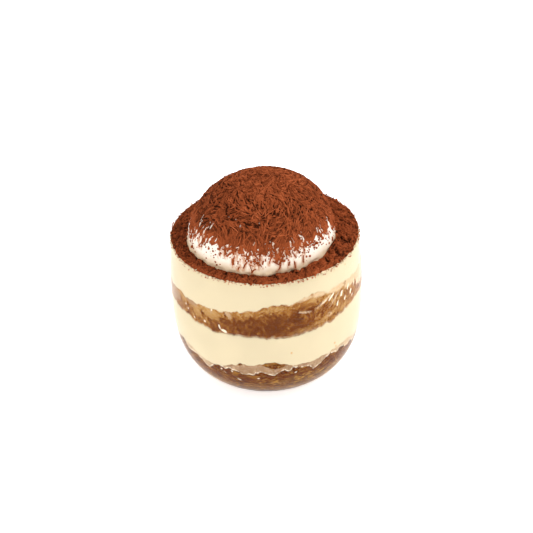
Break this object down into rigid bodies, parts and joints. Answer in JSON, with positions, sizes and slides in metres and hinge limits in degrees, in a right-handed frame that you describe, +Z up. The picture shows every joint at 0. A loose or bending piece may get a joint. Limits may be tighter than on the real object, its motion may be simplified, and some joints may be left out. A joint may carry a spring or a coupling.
{
  "type": "tiramisu",
  "caption": "Round dessert layered in a clear stemless glass: soaked sponge and mascarpone cream, topped with cocoa and a whipped cream dome under cocoa shreds.",
  "frame": {"origin": "centre of the glass's foot, on the surface that it rests on", "axes": "+Z up out of the glass, -Y towards the front, where the bare band of whipped cream is deepest"},
  "size_m": [0.0822, 0.0822, 0.0948],
  "materials": {
    "clear_glass": "clear thin-walled glass with a thick base",
    "soaked_sponge": "sponge soaked through with coffee, smeared with cream",
    "coffee_sponge": "mottled coffee-soaked sponge, golden crumb along its upper edge",
    "mascarpone": "smooth mascarpone cream pressed against the glass",
    "whipped_cream": "soft whipped cream, slightly grainy",
    "cocoa_bed": "loose dark cocoa crumbs and powder",
    "cocoa_crust": "matted fine cocoa shreds"
  },
  "bodies": {
    "root": {"glass_cup": "clear_glass", "sponge_bottom": "soaked_sponge", "cream_lower": "mascarpone", "sponge_middle": "coffee_sponge", "cream_upper": "mascarpone", "cocoa_bed": "cocoa_bed", "cream_dome": "whipped_cream", "cocoa_crust": "cocoa_crust"}
  },
  "joints": []
}
